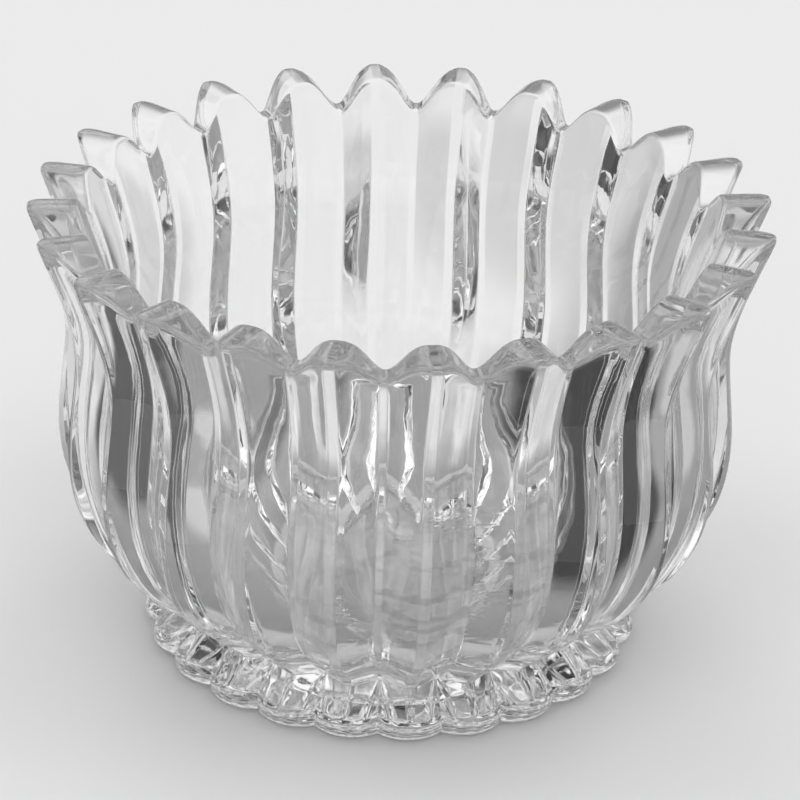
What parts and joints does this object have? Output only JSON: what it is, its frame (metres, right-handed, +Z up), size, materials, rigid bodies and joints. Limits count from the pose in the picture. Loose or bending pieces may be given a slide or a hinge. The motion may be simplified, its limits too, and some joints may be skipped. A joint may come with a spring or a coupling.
{
  "type": "floating candle bowl",
  "caption": "Deep clear pressed-glass bowl with fluted petal walls and a pointed, waved rim on a low beaded foot, for water and floating candles.",
  "frame": {"origin": "on the table, at the middle of the foot's underside", "axes": "+Z up along the bowl's axis, +X through a petal tip"},
  "size_m": [0.1988, 0.1988, 0.127],
  "materials": {
    "clear_glass": "fire-polished, clear and colourless"
  },
  "bodies": {
    "root": {"fluted_bowl": "clear_glass", "scalloped_foot": "clear_glass"}
  },
  "joints": []
}
